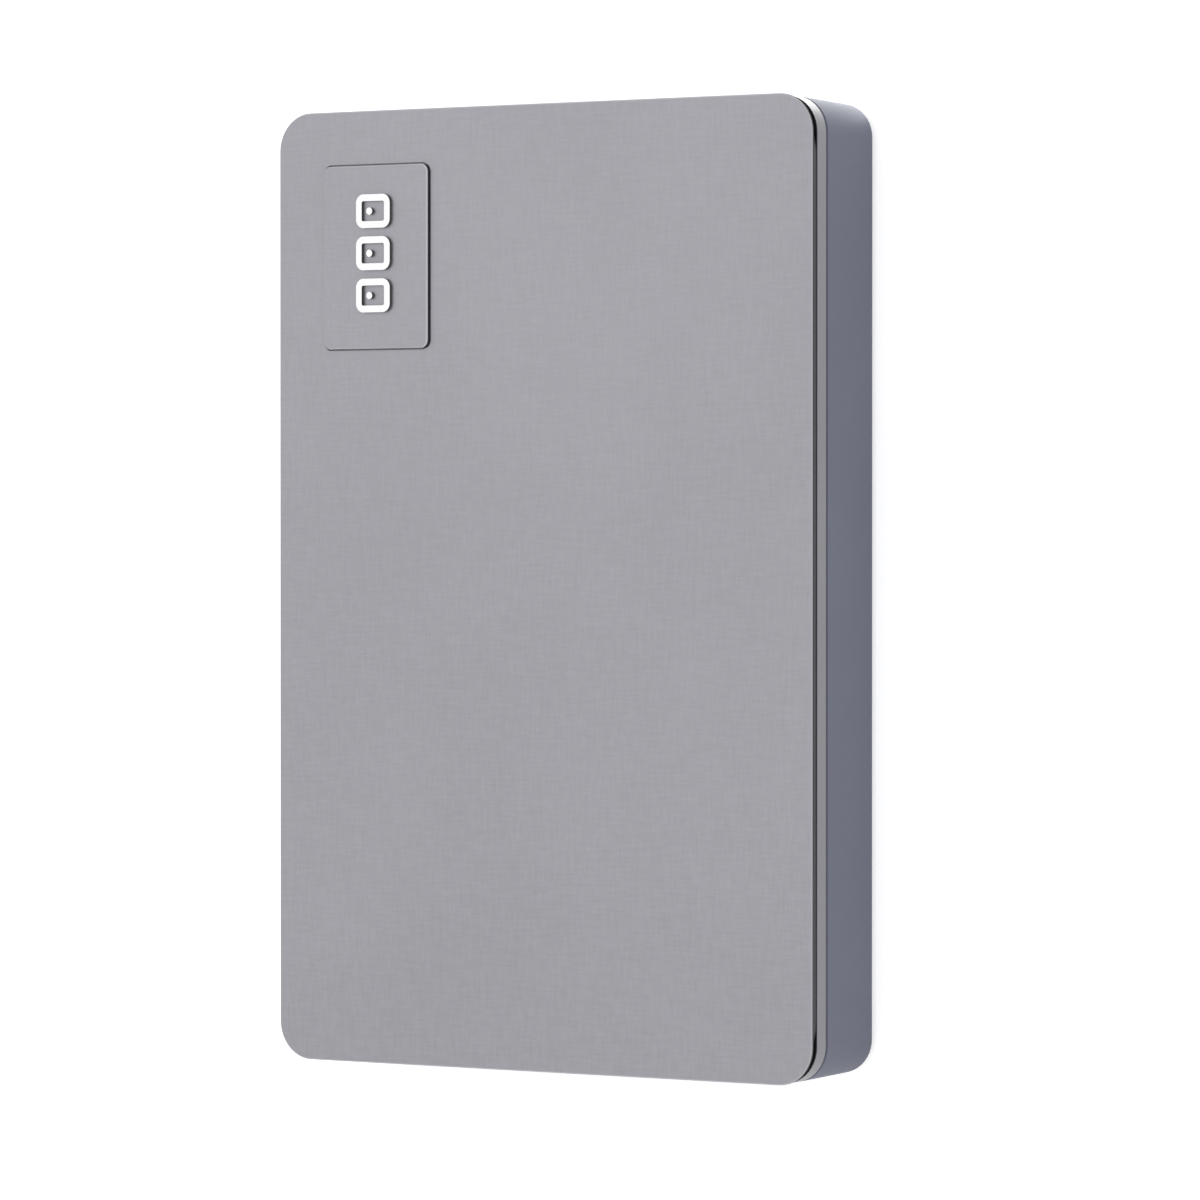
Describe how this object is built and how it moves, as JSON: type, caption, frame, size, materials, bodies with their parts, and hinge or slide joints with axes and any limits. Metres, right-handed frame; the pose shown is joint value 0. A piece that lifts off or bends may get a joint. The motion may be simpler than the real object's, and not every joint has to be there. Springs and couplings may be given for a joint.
{
  "type": "portable external hard drive",
  "caption": "Slim pocket drive case with a brushed face plate, raised corner tile and end port; disks and head arm turn inside.",
  "frame": {"origin": "on the resting plane under the feet, below the middle of the case", "axes": "+Z out of the face plate, +Y along the case away from the port end, +X across the case"},
  "size_m": [0.0782, 0.1188, 0.0171],
  "materials": {
    "plate_metal": "satin brushed",
    "mark_white": "satin",
    "carrier_dark": "matte",
    "cover_silver": "satin paint",
    "shell_grey": "fine matte",
    "rubber_black": "matte",
    "port_steel": "satin",
    "plastic_black": "matte",
    "contact_gold": "bright",
    "light_clear": "clear",
    "board_green": "solder mask",
    "foam_grey": "open foam",
    "cast_metal": "cast, dark coat",
    "cover_steel": "satin",
    "screw_steel": "satin",
    "magnet_nickel": "plated",
    "copper_wire": "enamelled",
    "disk_mirror": "mirror",
    "arm_metal": "machined",
    "ramp_plastic": "satin",
    "ribbon_amber": "satin",
    "filter_white": "felt"
  },
  "bodies": {
    "case": {"face_plate": "plate_metal", "tag_tile": "plate_metal", "tag_marks": "mark_white", "plate_carrier": "carrier_dark", "top_cover": "cover_silver", "lower_shell": "shell_grey", "rubber_feet": "rubber_black", "port_shell": "port_steel", "port_tongue": "plastic_black", "port_contacts": "contact_gold", "light_pipe": "light_clear", "status_light": "ramp_plastic", "bridge_board": "board_green", "bridge_chips": "plastic_black", "bridge_socket": "plastic_black", "drive_plug": "plastic_black", "corner_bumpers": "rubber_black", "top_pad": "foam_grey", "drive_base": "cast_metal", "cover_gasket": "rubber_black", "drive_cover": "cover_steel", "cover_screws": "screw_steel", "drive_board": "board_green", "drive_chips": "plastic_black", "board_screws": "screw_steel", "motor_sleeve": "screw_steel", "motor_stator": "copper_wire", "pivot_post": "screw_steel", "lower_yoke": "magnet_nickel", "upper_yoke": "magnet_nickel", "yoke_magnets": "magnet_nickel", "yoke_posts": "screw_steel", "park_ramp": "ramp_plastic", "air_filter": "filter_white", "flex_bracket": "plastic_black", "flex_ribbon": "ribbon_amber"},
    "disk_stack": {"rotor_magnet": "magnet_nickel", "spindle_shaft": "screw_steel", "spindle_hub": "arm_metal", "lower_platter": "disk_mirror", "platter_spacer": "arm_metal", "upper_platter": "disk_mirror", "disk_clamp": "cover_steel", "clamp_screws": "screw_steel"},
    "head_arm": {"arm_block": "arm_metal", "voice_coil": "copper_wire", "arm_bearing": "screw_steel", "head_springs": "cover_steel", "head_sliders": "carrier_dark"}
  },
  "joints": [
    {"name": "spindle_spin", "type": "hinge", "parent": "case", "child": "disk_stack", "pos_m": [0, 0.0222, 0.0075], "axis": [0, 0, 1], "continuous": true},
    {"name": "arm_swing", "type": "hinge", "parent": "case", "child": "head_arm", "pos_m": [0.012, -0.017, 0.0083], "axis": [0, 0, -1], "range_deg": [0, 32]}
  ]
}
